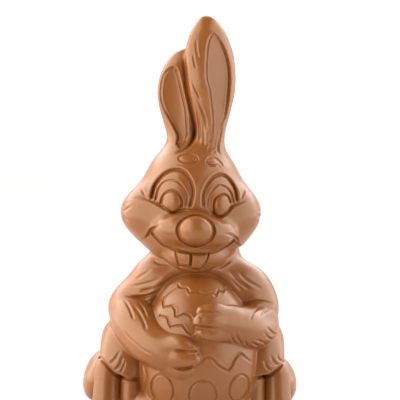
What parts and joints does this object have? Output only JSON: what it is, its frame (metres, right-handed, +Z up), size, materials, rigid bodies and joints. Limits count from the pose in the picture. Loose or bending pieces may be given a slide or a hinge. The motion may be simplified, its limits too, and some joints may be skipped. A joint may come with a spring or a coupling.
{
  "type": "chocolate bunny",
  "caption": "Moulded milk chocolate Easter bunny, sitting upright with long ears and a wide smile, hugging a large decorated egg.",
  "frame": {"origin": "on the flat base, under the body of the figure", "axes": "+Z up along the ears, -Y towards the face, +X to the right as seen from the front"},
  "size_m": [0.1089, 0.0859, 0.1983],
  "materials": {
    "chocolate": "satin"
  },
  "bodies": {
    "root": {"bunny": "chocolate"}
  },
  "joints": []
}
